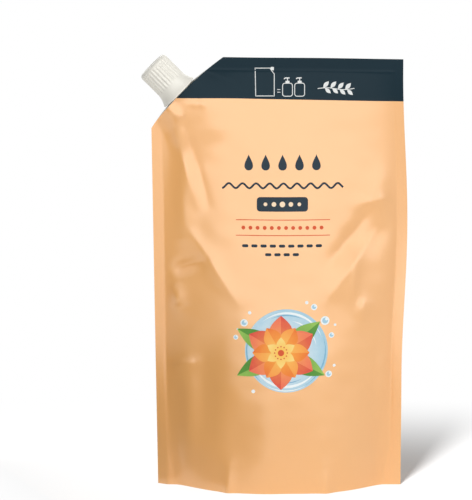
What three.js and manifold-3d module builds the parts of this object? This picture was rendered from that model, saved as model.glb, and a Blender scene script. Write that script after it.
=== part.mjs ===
// A stand-up refill pouch for liquid hand soap, with a screw-capped spout welded into its cut corner.
//
// The pouch is two printed film panels and a folded bottom gusset, welded round the edges and filled
// with soap, so it is one soft body: flat welded margins, a billowed belly, lower corners pinched flat
// and a hollow groove underneath between the hem and the sagging gusset. The spout is one moulding: a
// boat-shaped weld base with ribs held between the panels, a flange and a threaded neck. The cap has
// grip ribs and a flared skirt, a thread inside and a foam liner that seals on the neck's rim.
//
// Millimetres, +Z up, the printed front faces -Y. The origin is on the floor under the middle of the
// base. The spout and cap are made in the spout's own frame: its +Z leaves the pouch along the spout,
// its +X runs up the slanted edge, and its origin is where the spout's axis crosses the film's edge.
import * as THREE from "three";
import { mergeVertices } from "three/addons/utils/BufferGeometryUtils.js";
import Module from "manifold-3d";

// Pouch outline, seen from the front
const POUCH_HEIGHT = 236.2; // floor to the trimmed top edge, at the middle of that edge
const BASE_WIDTH = 134; // across the lower corners, and across the top if its corner weren't cut
const LEFT_FLARE = 3; // how much wider the left side is at the shoulder than at the floor
const RIGHT_SWELL = 3; // how far the right side swells out
const RIGHT_SWELL_HEIGHT = 145;
const RIGHT_SWELL_REACH = 85;
const TOP_FALL = 1.1; // the top edge falls this much from the cut corner to the right corner
const CORNER_CUT = 39.1; // how far across the slanted edge reaches
const CORNER_DROP = 38.2; // how far it falls below the top edge, to the pouch's left shoulder
const SLANT_BOW = 2.5; // how far the slanted edge bows out past a straight cut

// Welds and film
const FILM_PLY = 0.2;
const SIDE_WELD = 6;
const TOP_WELD = 7;
const SLANT_WELD = 13.5; // measured level, across the slanted edge
const EAR_WELD = 9; // the lower corners are pinched together this far in
const EAR_HEIGHT = 25;

// Belly
const BASE_DEPTH = 50; // front to back at the floor
const BELLY_DEPTH = 54; // at its fullest
const BELLY_HEIGHT = 50;
const BELLY_TAPER = 1.1; // 1 closes evenly to the top weld, more keeps the upper half fuller
const TOP_WAVE = 1.1; // the empty header isn't quite flat
const TOP_WAVE_LENGTH = 92;

// Underside
const HEM_HEIGHT = 5; // the gusset is welded in this far above the hem's edge
const GUSSET_SAG_HEIGHT = 1.4; // of the gusset film, halfway between the hem and where it touches down
const TOUCHDOWN_LENGTH = 72; // of the patch of gusset that the soap presses on the floor
const TOUCHDOWN_WIDTH = 24;

// Spout
const SPOUT_DROP = 19.2; // its axis crosses the slanted edge this far below the top edge
const SPOUT_TILT = 45; // degrees from upright, towards the left
const BOAT_LENGTH = 33;
const BOAT_THICKNESS = 12;
const BOAT_DEPTH = 10;
const BOAT_SINK = 1.5; // the film's edge stands this far past the boat
const SPOUT_TENT = 3; // at the film's edge the panels part this far before the boat's pointed ends
const SPOUT_TENT_SPREAD = 9.5; // and further down they part this much sooner still
const BOAT_RIB_COUNT = 4;
const BOAT_RIB_THICKNESS = 1.3;
const BOAT_RIB_RISE = 0.8; // of the ribs over the boat's core
const BOAT_BORE = 8.4;
const MOUTH_BORE = 11.8;
const MOUTH_DEPTH = 11; // of the wide bore below the rim
const NECK_DIAMETER = 13.4;
const NECK_TOP = 18.9; // of its rim above the film's edge
const FLANGE_DIAMETER = 19.6;
const FLANGE_THICKNESS = 1.2;

// Thread, right-handed
const THREAD_LEAD = 3;
const THREAD_DEPTH = 0.7;
const THREAD_ROOT_WIDTH = 1.75;
const THREAD_CREST_WIDTH = 0.9;
const NECK_THREAD_START = 12.6;
const NECK_THREAD_TURNS = 1.25;
const CAP_THREAD_TURNS = 1;

// Cap and liner
const CAP_DIAMETER = 18.2; // over the grip ribs
const CAP_LENGTH = 21.4;
const CAP_TOP_THICKNESS = 1.4;
const CAP_TOP_ROUND = 2.2;
const GRIP_RIB_COUNT = 28;
const GRIP_RIB_DEPTH = 0.45;
const GRIP_RIB_LENGTH = 14.4; // from the cap's end down to where the ribs fade out
const SKIRT_DIAMETER = 22.3;
const SKIRT_RIM = 0.5; // height of the skirt's upright rim
const SKIRT_WALL = 0.9; // at the foot, where the skirt hides the flange
const SKIRT_CONE = 3.3; // height over which the skirt's inside narrows to the bore
const THREAD_CLEARANCE = 0.35; // between the neck's thread and the cap's bore
const LINER_THICKNESS = 1;
const LINER_CLEARANCE = 0.35; // round the liner, inside the cap

// Clearances
const SEAT_GAP = 0.3; // between pieces that touch
const SKIRT_GAP = 0.5; // between the closed cap's foot and the film's edge

// Soft folds pressed into the panels. Each runs from one point to another, [across, up], and stands
// this far out over that width. A negative rise is a dent.
const FRONT_FOLDS = [
  { from: [-57, 198], to: [-43, 156], rise: 1.6, width: 5 },
  { from: [-50, 196], to: [-36, 160], rise: -1.4, width: 5 },
  { from: [-50, 142], to: [-22, 103], rise: 1.8, width: 6 },
  { from: [-60, 118], to: [-40, 92], rise: -1.6, width: 9 },
  { from: [-62, 130], to: [-36, 138], rise: -1.2, width: 8 },
  { from: [54, 144], to: [26, 106], rise: 1.8, width: 6 },
  { from: [62, 152], to: [38, 130], rise: -1.8, width: 8 },
  { from: [-41, 84], to: [-39, 30], rise: -1.8, width: 9 },
  { from: [-55, 40], to: [-54, 8], rise: -1.4, width: 7 },
  { from: [-27, 22], to: [-24, 2], rise: 1.2, width: 8 },
  { from: [25, 18], to: [26, 2], rise: 1.2, width: 7 },
];
const BACK_FOLDS = [
  { from: [-52, 190], to: [-26, 140], rise: 1.5, width: 6 },
  { from: [50, 150], to: [20, 112], rise: 1.7, width: 7 },
  { from: [-50, 110], to: [-24, 80], rise: -1.6, width: 9 },
  { from: [42, 80], to: [44, 26], rise: -1.7, width: 9 },
  { from: [-30, 24], to: [-26, 2], rise: 1.2, width: 8 },
];

// Fineness of the meshes
const LEFT_WELD_COLUMNS = 4;
const BELLY_COLUMNS = 27;
const LOWER_ROWS = 32;
const UPPER_ROWS = 14;
const ROUND_SEGMENTS = 48;
const THREAD_STEPS_PER_TURN = 24;

const wasm = await Module();
wasm.setup();

const mix = (a, b, share) => a + (b - a) * share;
const smoothstep = (low, high, value) => {
  const share = Math.min(1, Math.max(0, (value - low) / (high - low)));
  return share * share * (3 - 2 * share);
};

// A closed geometry as a solid, with its shared vertices merged.
function toSolid(geometry) {
  const bare = geometry.clone();
  bare.deleteAttribute("normal");
  bare.deleteAttribute("uv");
  const merged = mergeVertices(bare, 1e-4);
  return new wasm.Manifold(
    new wasm.Mesh({
      numProp: 3,
      vertProperties: new Float32Array(merged.attributes.position.array),
      triVerts: new Uint32Array(merged.index.array),
    }),
  );
}

function toGeometry(solid) {
  const mesh = solid.getMesh();
  return new THREE.BufferGeometry()
    .setAttribute("position", new THREE.BufferAttribute(mesh.vertProperties, 3))
    .setIndex(new THREE.BufferAttribute(mesh.triVerts, 1))
    .toNonIndexed();
}

function geometryOf(points, triangles) {
  const geometry = new THREE.BufferGeometry();
  geometry.setAttribute("position", new THREE.Float32BufferAttribute(points.flat(), 3));
  geometry.setIndex(triangles.flat());
  return geometry;
}

// A solid of revolution about +Z from [radius, height] points, listed upwards on the outside.
function revolve(profile, segments = ROUND_SEGMENTS) {
  const points = profile.map(([radius, height]) => new THREE.Vector2(radius, height));
  return new THREE.LatheGeometry(points, segments).rotateX(Math.PI / 2);
}

function cylinder(radius, from, to, segments = ROUND_SEGMENTS) {
  return revolve([[0, from], [radius, from], [radius, to], [0, to]], segments);
}

// The spout's frame in the pouch's frame, and where its boat ends inside the pouch
const tilt = THREE.MathUtils.degToRad(SPOUT_TILT);
const shoulder = POUCH_HEIGHT - CORNER_DROP;
const slantRise = topEdge(-BASE_WIDTH / 2 - LEFT_FLARE + CORNER_CUT) - shoulder;
const spoutHeight = POUCH_HEIGHT - SPOUT_DROP;
const spoutEdge = new THREE.Vector3(leftEdge(spoutHeight), 0, spoutHeight);
const spoutFrame = new THREE.Matrix4()
  .makeTranslation(spoutEdge)
  .multiply(new THREE.Matrix4().makeRotationY(-tilt));
const boatBottom = -BOAT_SINK - BOAT_DEPTH;

// Height of the trimmed top edge
function topEdge(x) {
  const middle = (CORNER_CUT - LEFT_FLARE) / 2;
  return POUCH_HEIGHT - (TOP_FALL * (x - middle)) / (BASE_WIDTH + LEFT_FLARE - CORNER_CUT);
}

// The pouch's left edge at a height: the flared side, then the bowed slant across the corner
function leftEdge(z) {
  const side = -BASE_WIDTH / 2 - LEFT_FLARE * Math.min(1, z / shoulder);
  if (z <= shoulder) return side;
  const share = Math.min(1, (z - shoulder) / slantRise);
  const bow = (SLANT_BOW / Math.cos(tilt)) * 4 * share * (1 - share);
  return side + CORNER_CUT * share - bow;
}

function rightEdge(z) {
  const off = Math.min(1, Math.abs(z - RIGHT_SWELL_HEIGHT) / RIGHT_SWELL_REACH);
  return BASE_WIDTH / 2 + RIGHT_SWELL * Math.cos((Math.PI / 2) * off) ** 2;
}

// Where the welds end and the panels part, at a height
function weldEdges(z) {
  const ear = (EAR_WELD - SIDE_WELD) * (1 - smoothstep(0, EAR_HEIGHT, z));
  const slant =
    (SLANT_WELD - SIDE_WELD) * smoothstep(shoulder - 2 * SIDE_WELD, shoulder + SIDE_WELD, z);
  return [leftEdge(z) + SIDE_WELD + ear + slant, rightEdge(z) - SIDE_WELD - ear];
}

// Half the pouch's depth on its centre line, at a height
function bellyDepth(z) {
  const taperEnd = POUCH_HEIGHT - TOP_WELD;
  if (z < BELLY_HEIGHT) return mix(BASE_DEPTH, BELLY_DEPTH, Math.sin((Math.PI / 2) * (z / BELLY_HEIGHT))) / 2;
  const share = Math.min(1, (z - BELLY_HEIGHT) / (taperEnd - BELLY_HEIGHT));
  return (BELLY_DEPTH / 2) * (1 - share ** BELLY_TAPER);
}

// How far one panel stands out from the middle: blunt with pinched ears at the floor, a lens above
function billow(x, z) {
  const [left, right] = weldEdges(z);
  if (x <= left || x >= right) return 0;
  const across = Math.abs((2 * x - left - right) / (right - left));
  const upright = smoothstep(0, BELLY_HEIGHT + SIDE_WELD * 3, z);
  return bellyDepth(z) * (1 - across ** mix(3.5, 2.2, upright)) ** mix(1.7, 1, upright);
}

// The boat's section, as half its thickness at a place along its length, grown by a margin
function boatHalf(along, margin = 0) {
  const length = BOAT_LENGTH / 2 + margin;
  const thickness = BOAT_THICKNESS / 2 + margin;
  const radius = (length ** 2 + thickness ** 2) / (2 * thickness);
  return Math.abs(along) < length ? Math.sqrt(radius ** 2 - along ** 2) - (radius - thickness) : 0;
}

// How far the panels are pushed out by the boat between them, fading below it and past its ends
function spoutSwell(x, z) {
  const along = (x - spoutEdge.x) * Math.cos(tilt) + (z - spoutEdge.z) * Math.sin(tilt);
  const out = (z - spoutEdge.z) * Math.cos(tilt) - (x - spoutEdge.x) * Math.sin(tilt);
  const fade = smoothstep(3 * boatBottom, 1.1 * boatBottom, out);
  const spread = 1 - smoothstep(2 * boatBottom, -BOAT_SINK, out);
  const reach = BOAT_LENGTH / 2 + SPOUT_TENT + SPOUT_TENT_SPREAD * spread;
  const tent = Math.max(0, 1 - Math.abs(along / reach) ** 1.8) ** (1 + 0.6 * spread);
  return (BOAT_THICKNESS / 2 + SEAT_GAP + 2 * FILM_PLY) * tent * fade;
}

// The rise of one fold at a point: a rounded ridge that fades at both ends
function foldRise({ from, to, rise, width }, x, z) {
  const run = [to[0] - from[0], to[1] - from[1]];
  const squared = run[0] ** 2 + run[1] ** 2;
  const share = ((x - from[0]) * run[0] + (z - from[1]) * run[1]) / squared;
  const held = Math.min(1, Math.max(0, share));
  const off = Math.hypot(x - from[0] - held * run[0], z - from[1] - held * run[1]);
  const ends = Math.sin(Math.PI * Math.min(1, Math.max(0, 0.1 + 0.8 * held)));
  return rise * ends * Math.exp(-((off / width) ** 2));
}

// The header's slight wave, which moves both panels together and leaves the spout's corner alone
function sway(x, z) {
  const up = smoothstep(0.7 * POUCH_HEIGHT, POUCH_HEIGHT, z);
  const clear = smoothstep(-BASE_WIDTH / 4, 0, x);
  return TOP_WAVE * up * clear * Math.sin((2 * Math.PI * x) / TOP_WAVE_LENGTH);
}

// How far a panel's outer face stands from the middle, with its folds
function panelOut(x, z, folds) {
  const soft = Math.hypot(billow(x, z), spoutSwell(x, z));
  const slack = smoothstep(0, BELLY_DEPTH / 5, billow(x, z));
  const creased = folds.reduce((sum, fold) => sum + foldRise(fold, x, z), 0) * slack;
  return FILM_PLY + soft + creased;
}

// Height of a row of the panels' grid: even up to the shoulder, then up to the trimmed edge
function rowHeight(row, x) {
  if (row <= LOWER_ROWS) return (shoulder * row) / LOWER_ROWS;
  return mix(shoulder, topEdge(x), (row - LOWER_ROWS) / UPPER_ROWS);
}

// Place of a column at a height: a few across each weld, the rest across the soap, closer at its sides
function columnPlace(column, z) {
  const [weldLeft, weldRight] = weldEdges(z);
  if (column < LEFT_WELD_COLUMNS) return mix(leftEdge(z), weldLeft, column / LEFT_WELD_COLUMNS);
  const past = column - LEFT_WELD_COLUMNS;
  if (past > BELLY_COLUMNS) return rightEdge(z);
  const share = past / BELLY_COLUMNS;
  return mix(weldLeft, weldRight, mix(share, smoothstep(0, 1, share), 0.4));
}

function gridPoint(column, row) {
  const near = columnPlace(column, rowHeight(row, 0));
  const z = rowHeight(row, near);
  return [columnPlace(column, z), z];
}

// The filled pouch before anything is hollowed out of it
function filledPouch() {
  const points = [];
  const triangles = [];
  const columns = LEFT_WELD_COLUMNS + BELLY_COLUMNS + 1;
  const rows = LOWER_ROWS + UPPER_ROWS;
  const width = columns + 1;
  const panel = width * (rows + 1);
  for (const [side, folds] of [[-1, FRONT_FOLDS], [1, BACK_FOLDS]]) {
    for (let row = 0; row <= rows; row++) {
      for (let column = 0; column <= columns; column++) {
        const [x, z] = gridPoint(column, row);
        points.push([x, sway(x, z) + side * panelOut(x, z, folds), z]);
      }
    }
  }
  const quad = (a, b, c, d) => triangles.push([a, b, c], [a, c, d]);
  for (let row = 0; row < rows; row++) {
    for (let column = 0; column < columns; column++) {
      const at = row * width + column;
      quad(at, at + 1, at + 1 + width, at + width);
      quad(panel + at, panel + at + width, panel + at + 1 + width, panel + at + 1);
    }
    const left = row * width;
    const right = left + columns;
    quad(left, left + width, panel + left + width, panel + left);
    quad(right, panel + right, panel + right + width, right + width);
  }
  const top = rows * width;
  for (let column = 0; column < columns; column++) {
    quad(column, panel + column, panel + column + 1, column + 1);
    quad(top + column, top + column + 1, panel + top + column + 1, panel + top + column);
  }
  return toSolid(geometryOf(points, triangles));
}

// The groove under the pouch, inside the hem: up to the gusset's weld, then down its sagging film
// to the patch that lies on the floor.
function undersideGroove() {
  const hem = 2 * FILM_PLY;
  const reach = BASE_WIDTH / 2 - EAR_WELD - hem;
  const steps = 2 * ROUND_SEGMENTS;
  const points = [];
  const triangles = [];
  for (let step = 0; step < steps; step++) {
    const turn = (2 * Math.PI * (step + 0.5)) / steps;
    const x = reach * Math.cos(turn);
    const side = Math.sign(Math.sin(turn));
    const y = side * Math.max(hem / 4, billow(x, 0) - hem);
    const inner = [(TOUCHDOWN_LENGTH / 2) * Math.cos(turn), (TOUCHDOWN_WIDTH / 2) * Math.sin(turn)];
    const middle = [mix(x, inner[0], 0.5), mix(y, inner[1], 0.5)];
    const rise = HEM_HEIGHT * smoothstep(0, BASE_DEPTH / 6, Math.abs(y));
    points.push([x, y, -1], [x, y, Math.max(0.1, rise)]);
    points.push([...middle, Math.max(0.05, (rise * GUSSET_SAG_HEIGHT) / HEM_HEIGHT)]);
    points.push([...inner, 0], [...inner, -1]);
  }
  const ring = 5;
  for (let step = 0; step < steps; step++) {
    const here = step * ring;
    const next = ((step + 1) % steps) * ring;
    for (let corner = 0; corner < ring; corner++) {
      const after = (corner + 1) % ring;
      triangles.push([here + corner, next + corner, next + after], [here + corner, next + after, here + after]);
    }
  }
  return toSolid(geometryOf(points, triangles));
}

// The boat's outline as a shape, grown by a margin
function boatShape(margin = 0) {
  const half = BOAT_LENGTH / 2 + margin;
  const steps = 12;
  const edge = (side) =>
    Array.from({ length: steps }, (_, i) => {
      const along = -half * side * Math.cos((Math.PI * i) / steps);
      return new THREE.Vector2(along, -side * boatHalf(along, margin));
    });
  return new THREE.Shape([...edge(1), ...edge(-1)]);
}

function boatSlab(margin, from, to) {
  const slab = new THREE.ExtrudeGeometry(boatShape(margin), { depth: to - from, bevelEnabled: false });
  return toSolid(slab.translate(0, 0, from));
}

// The pocket between the panels that holds the spout's boat, open at the film's edge
function spoutPocket() {
  return boatSlab(SEAT_GAP, boatBottom - SEAT_GAP, SLANT_BOW).transform(spoutFrame.toArray());
}

function makePouch() {
  return filledPouch().subtract(undersideGroove()).subtract(spoutPocket());
}

// One thread: a tapered ridge on a helix. It stands on the base radius and points out or in.
function thread({ base, depth, start, turns }) {
  const steps = Math.round(turns * THREAD_STEPS_PER_TURN);
  const root = depth > 0 ? base - SEAT_GAP : base + SEAT_GAP;
  const points = [];
  const triangles = [];
  for (let step = 0; step <= steps; step++) {
    const turn = (2 * Math.PI * turns * step) / steps;
    const lift = start + (THREAD_LEAD * turn) / (2 * Math.PI);
    const lead = Math.min(1, (4 * Math.min(step, steps - step)) / THREAD_STEPS_PER_TURN + 0.15);
    const crest = base + depth * lead;
    const section = [
      [root, -THREAD_ROOT_WIDTH / 2],
      [base, -THREAD_ROOT_WIDTH / 2],
      [crest, -THREAD_CREST_WIDTH / 2],
      [crest, THREAD_CREST_WIDTH / 2],
      [base, THREAD_ROOT_WIDTH / 2],
      [root, THREAD_ROOT_WIDTH / 2],
    ];
    for (const [radius, up] of section) {
      points.push([radius * Math.cos(turn), radius * Math.sin(turn), lift + up]);
    }
  }
  const ring = 6;
  for (let step = 0; step < steps; step++) {
    for (let corner = 0; corner < ring; corner++) {
      const a = step * ring + corner;
      const b = step * ring + ((corner + 1) % ring);
      triangles.push([a, b, b + ring], [a, b + ring, a + ring]);
    }
  }
  const last = steps * ring;
  for (let corner = 1; corner < ring - 1; corner++) {
    triangles.push([0, corner + 1, corner], [last, last + corner, last + corner + 1]);
  }
  if (depth > 0) triangles.forEach((triangle) => triangle.reverse());
  return toSolid(geometryOf(points, triangles));
}

function makeSpout() {
  let body = boatSlab(-BOAT_RIB_RISE, boatBottom, -BOAT_SINK);
  const pitch = (BOAT_DEPTH - BOAT_RIB_THICKNESS) / (BOAT_RIB_COUNT - 1);
  for (let rib = 0; rib < BOAT_RIB_COUNT; rib++) {
    const from = boatBottom + rib * pitch;
    body = body.add(boatSlab(0, from, from + BOAT_RIB_THICKNESS));
  }
  const neck = NECK_DIAMETER / 2;
  const flange = FLANGE_DIAMETER / 2;
  const flangeTop = SEAT_GAP + FLANGE_THICKNESS;
  const fillet = 0.8;
  const outside = revolve([
    [0, -BOAT_SINK - fillet],
    [neck - fillet, -BOAT_SINK - fillet],
    [neck - fillet, SEAT_GAP],
    [flange - fillet / 2, SEAT_GAP],
    [flange, SEAT_GAP + fillet / 2],
    [flange, flangeTop - fillet / 2],
    [flange - fillet / 2, flangeTop],
    [neck + fillet, flangeTop],
    [neck, flangeTop + fillet],
    [neck, NECK_TOP - fillet / 2],
    [neck - fillet / 2, NECK_TOP],
    [0, NECK_TOP],
  ]);
  const ridge = thread({ base: neck, depth: THREAD_DEPTH, start: NECK_THREAD_START, turns: NECK_THREAD_TURNS });
  const step = (MOUTH_BORE - BOAT_BORE) / 2;
  const bore = revolve([
    [0, boatBottom - 1],
    [BOAT_BORE / 2, boatBottom - 1],
    [BOAT_BORE / 2, NECK_TOP - MOUTH_DEPTH - step],
    [MOUTH_BORE / 2, NECK_TOP - MOUTH_DEPTH],
    [MOUTH_BORE / 2, NECK_TOP + 1],
    [0, NECK_TOP + 1],
  ]);
  return body.add(toSolid(outside)).add(ridge).subtract(toSolid(bore));
}

// The cap's heights in the spout's frame
const capFoot = SKIRT_GAP;
const capEnd = capFoot + CAP_LENGTH;
const capBore = NECK_DIAMETER / 2 + THREAD_DEPTH + THREAD_CLEARANCE;

// The cap's outside, revolved and then pulled in between the grip ribs
function capOutside() {
  const barrel = CAP_DIAMETER / 2;
  const skirt = SKIRT_DIAMETER / 2;
  const ribsEnd = capEnd - GRIP_RIB_LENGTH;
  const round = Array.from({ length: 5 }, (_, i) => {
    const turn = (Math.PI / 2) * (i / 4);
    return [
      barrel - CAP_TOP_ROUND * (1 - Math.cos(turn)),
      capEnd - CAP_TOP_ROUND * (1 - Math.sin(turn)),
    ];
  });
  const flare = Array.from({ length: 5 }, (_, i) => {
    const share = i / 4;
    return [
      barrel + (skirt - barrel) * (1 - share) ** 1.7,
      mix(capFoot + SKIRT_RIM, ribsEnd - 0.6, share),
    ];
  });
  const profile = [
    [0, capFoot],
    [skirt, capFoot],
    ...flare,
    [barrel, ribsEnd + 1.2],
    [barrel, mix(ribsEnd, capEnd, 0.5)],
    ...round,
    [0, capEnd],
  ];
  const samples = 3;
  const outside = revolve(profile, GRIP_RIB_COUNT * samples);
  const position = outside.attributes.position;
  for (let i = 0; i < position.count; i++) {
    const [x, y, z] = [position.getX(i), position.getY(i), position.getZ(i)];
    const turn = (Math.atan2(y, x) / (2 * Math.PI)) * GRIP_RIB_COUNT;
    const groove = Math.abs(turn - Math.round(turn)) < 0.5 / samples ? 1 : 0;
    const ribbed = z > ribsEnd && z < capEnd - CAP_TOP_ROUND / 2 ? 1 : 0;
    const shrink = 1 - (GRIP_RIB_DEPTH * groove * ribbed) / Math.max(1, Math.hypot(x, y));
    position.setXY(i, x * shrink, y * shrink);
  }
  return outside;
}

function makeCap() {
  const overFlange = 2 * SEAT_GAP + FLANGE_THICKNESS;
  const inside = revolve([
    [0, capFoot - 1],
    [SKIRT_DIAMETER / 2 - SKIRT_WALL, capFoot - 1],
    [SKIRT_DIAMETER / 2 - SKIRT_WALL, overFlange],
    [capBore, overFlange + SKIRT_CONE],
    [capBore, capEnd - CAP_TOP_THICKNESS],
    [0, capEnd - CAP_TOP_THICKNESS],
  ]);
  const start = NECK_THREAD_START - THREAD_LEAD / 2;
  const ridge = thread({ base: capBore, depth: -THREAD_DEPTH, start, turns: CAP_THREAD_TURNS });
  return toSolid(capOutside()).subtract(toSolid(inside)).add(ridge);
}

function makeLiner() {
  const top = capEnd - CAP_TOP_THICKNESS - SEAT_GAP;
  return toSolid(cylinder(capBore - LINER_CLEARANCE, top - LINER_THICKNESS, top));
}

const film = new THREE.MeshStandardMaterial({ color: 0xf6c58c, roughness: 0.42, metalness: 0 });
const polypropylene = new THREE.MeshStandardMaterial({ color: 0xefeee4, roughness: 0.38, metalness: 0 });
const polyethylene = new THREE.MeshStandardMaterial({ color: 0xf2f0e8, roughness: 0.45, metalness: 0 });
const foam = new THREE.MeshStandardMaterial({ color: 0xf7f6f2, roughness: 0.8, metalness: 0 });

function part(name, solid, material) {
  const mesh = new THREE.Mesh(toGeometry(solid), material);
  mesh.name = name;
  return mesh;
}

const pack = new THREE.Group();
pack.add(part("pouch", makePouch(), film));
const closure = new THREE.Group();
closure.position.copy(spoutEdge);
closure.rotation.y = -tilt;
closure.add(part("spout", makeSpout(), polyethylene));
closure.add(part("cap", makeCap(), polypropylene));
closure.add(part("cap_liner", makeLiner(), foam));
pack.add(closure);

export default pack;
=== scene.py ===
"""A spouted stand-up refill pouch of liquid hand soap, printed, filled and standing in a pale studio.

Sizes are in millimetres, seen from the printed front, and each mesh is turned to metres as it is made.
Lights, shade cards and camera are placed in metres. The pouch's outline and belly repeat the frame's;
its film, folds and welds are finer here.
"""
import math

import bmesh
import bpy
import numpy as np
from mathutils import Matrix, Vector
from mathutils.bvhtree import BVHTree
from mathutils.geometry import delaunay_2d_cdt


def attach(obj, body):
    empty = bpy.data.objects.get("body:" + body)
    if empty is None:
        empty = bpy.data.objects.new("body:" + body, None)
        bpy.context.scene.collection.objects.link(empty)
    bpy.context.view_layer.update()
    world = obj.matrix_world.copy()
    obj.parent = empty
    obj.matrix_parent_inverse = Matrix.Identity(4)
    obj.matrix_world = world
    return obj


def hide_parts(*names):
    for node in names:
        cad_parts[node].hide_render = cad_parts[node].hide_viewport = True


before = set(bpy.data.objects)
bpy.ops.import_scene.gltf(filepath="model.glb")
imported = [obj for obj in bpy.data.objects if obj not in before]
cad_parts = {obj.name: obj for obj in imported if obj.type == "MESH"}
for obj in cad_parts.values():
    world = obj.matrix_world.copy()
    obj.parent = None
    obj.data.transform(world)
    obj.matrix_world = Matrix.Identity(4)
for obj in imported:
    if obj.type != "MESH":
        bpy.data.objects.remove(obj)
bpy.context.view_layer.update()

MM = 0.001

# Pouch outline and belly, as in the frame
POUCH_HEIGHT = 236.2
BASE_WIDTH = 134
LEFT_FLARE = 3
RIGHT_SWELL = 3
RIGHT_SWELL_HEIGHT = 145
RIGHT_SWELL_REACH = 85
TOP_FALL = 1.1
CORNER_CUT = 39.1
CORNER_DROP = 38.2
SLANT_BOW = 2.5
SIDE_WELD = 6
TOP_WELD = 7
SLANT_WELD = 13.5
EAR_WELD = 9
EAR_HEIGHT = 25
BASE_DEPTH = 50
BELLY_DEPTH = 54
BELLY_HEIGHT = 50
BELLY_TAPER = 1.1
TOP_WAVE = 1.1
TOP_WAVE_LENGTH = 92
HEM_HEIGHT = 5
TOUCHDOWN_LENGTH = 72
TOUCHDOWN_WIDTH = 24
FILM_PLY = 0.2

# Forms of the film that are finer than the frame's
BELLY_ROUND = 0.12  # how softly the belly starts to taper, as a share of its height
FOLD_SLACK = BELLY_DEPTH / 10  # film that stands out less than this is too taut to fold freely
SIDE_WELD_SEEN = 5.3  # from the side to the groove along the weld
WELD_GROOVE = 0.12
PRESSED_RIDGE = 0.24
PRESS_WIDTH = 0.5  # of the groove and of the ridge
WELD_CURL = 3.6  # how far back the left side weld curls at the floor
WELD_CURL_HEIGHT = 85
RIGHT_WAVE = 7  # how far the right side weld leans from one way to the other
RIGHT_WAVE_REACH = 8
RIGHT_WAVE_SPAN = (52, 150)

# Spout and cap, as in the frame
SPOUT_DROP = 19.2
SPOUT_TILT = 45
SPOUT_TENT = 3
SPOUT_TENT_SPREAD = 9.5
BOAT_LENGTH = 33
BOAT_THICKNESS = 12
BOAT_DEPTH = 10
BOAT_SINK = 1.5
BOAT_RIBS = 4
BOAT_RIB_THICKNESS = 1.3
BOAT_RIB_RISE = 0.8
SEAT_GAP = 0.3
NECK_DIAMETER = 13.4
NECK_TOP = 18.9
MOUTH_BORE = 11.8
MOUTH_DEPTH = 11
BOAT_BORE = 8.4
FLANGE_DIAMETER = 19.6
FLANGE_THICKNESS = 1.2
THREAD_LEAD = 3
THREAD_DEPTH = 0.7
THREAD_CLEARANCE = 0.35
THREAD_ROOT = 0.87  # half its width at the root, rounded down from the frame's
THREAD_CREST = 0.45  # and at the crest
THREAD_SINK = 0.3  # how far it is rooted in its wall
NECK_THREAD_START = 12.6
NECK_THREAD_TURNS = 1.25
CAP_THREAD_TURNS = 1
CAP_DIAMETER = 18.2
CAP_LENGTH = 21.4
CAP_TOP_THICKNESS = 1.4
CAP_TOP_ROUND = 2.2
SKIRT_DIAMETER = 22.3
SKIRT_WALL = 0.9
SKIRT_GAP = 0.5
SKIRT_CONE = 3.3
GRIP_RIBS = 28
GRIP_RIB_DEPTH = 0.42  # a little shallower than the frame's
GRIP_RIB_LENGTH = 14.4
CAP_BORE = NECK_DIAMETER + 2 * THREAD_DEPTH + 2 * THREAD_CLEARANCE

# The dark header band, from the trimmed edge down, and the blossom's middle, [across, up]
BAND_DEPTH_LEFT = 21.8
BAND_DEPTH_RIGHT = 23.1
BLOSSOM = (0.5, 78)

SHOULDER = POUCH_HEIGHT - CORNER_DROP
SPOUT_HEIGHT = POUCH_HEIGHT - SPOUT_DROP
HALF_SQUARE = math.sqrt(0.5)


def mix(a, b, share):
    return a + (b - a) * share


def smoothstep(low, high, value):
    share = np.clip((value - low) / (high - low), 0, 1)
    return share * share * (3 - 2 * share)


# The pouch's outline


def top_edge(x):
    middle = (CORNER_CUT - LEFT_FLARE) / 2
    return POUCH_HEIGHT - TOP_FALL * (x - middle) / (BASE_WIDTH + LEFT_FLARE - CORNER_CUT)


SLANT_RISE = top_edge(-BASE_WIDTH / 2 - LEFT_FLARE + CORNER_CUT) - SHOULDER


def left_edge(z):
    side = -BASE_WIDTH / 2 - LEFT_FLARE * np.minimum(1, z / SHOULDER)
    share = np.clip((z - SHOULDER) / SLANT_RISE, 0, 1)
    bow = SLANT_BOW / HALF_SQUARE * 4 * share * (1 - share)
    return side + CORNER_CUT * share - bow


def right_edge(z):
    off = np.minimum(1, np.abs(z - RIGHT_SWELL_HEIGHT) / RIGHT_SWELL_REACH)
    return BASE_WIDTH / 2 + RIGHT_SWELL * np.cos(np.pi / 2 * off) ** 2


def weld_edges(z):
    ear = (EAR_WELD - SIDE_WELD) * (1 - smoothstep(0, EAR_HEIGHT, z))
    slant = (SLANT_WELD - SIDE_WELD) * smoothstep(SHOULDER - SIDE_WELD, SHOULDER + 1.5 * SIDE_WELD, z)
    return left_edge(z) + SIDE_WELD + ear + slant, right_edge(z) - SIDE_WELD - ear


SPOUT_X = float(left_edge(SPOUT_HEIGHT))
SPOUT_TURN = Matrix.Rotation(math.radians(-SPOUT_TILT), 4, "Y")
SPOUT_FRAME = Matrix.Translation((SPOUT_X, 0, SPOUT_HEIGHT)) @ SPOUT_TURN


# How far the film stands out


def belly_depth(z):
    below = mix(BASE_DEPTH, BELLY_DEPTH, np.sin(np.pi / 2 * np.minimum(1, z / BELLY_HEIGHT))) / 2
    span = POUCH_HEIGHT - TOP_WELD - BELLY_HEIGHT
    share = np.clip((z - BELLY_HEIGHT) / span, 0, 1)
    share = (np.hypot(share, BELLY_ROUND) - BELLY_ROUND) / (math.hypot(1, BELLY_ROUND) - BELLY_ROUND)
    return np.where(z < BELLY_HEIGHT, below, BELLY_DEPTH / 2 * (1 - share**BELLY_TAPER))


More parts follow.
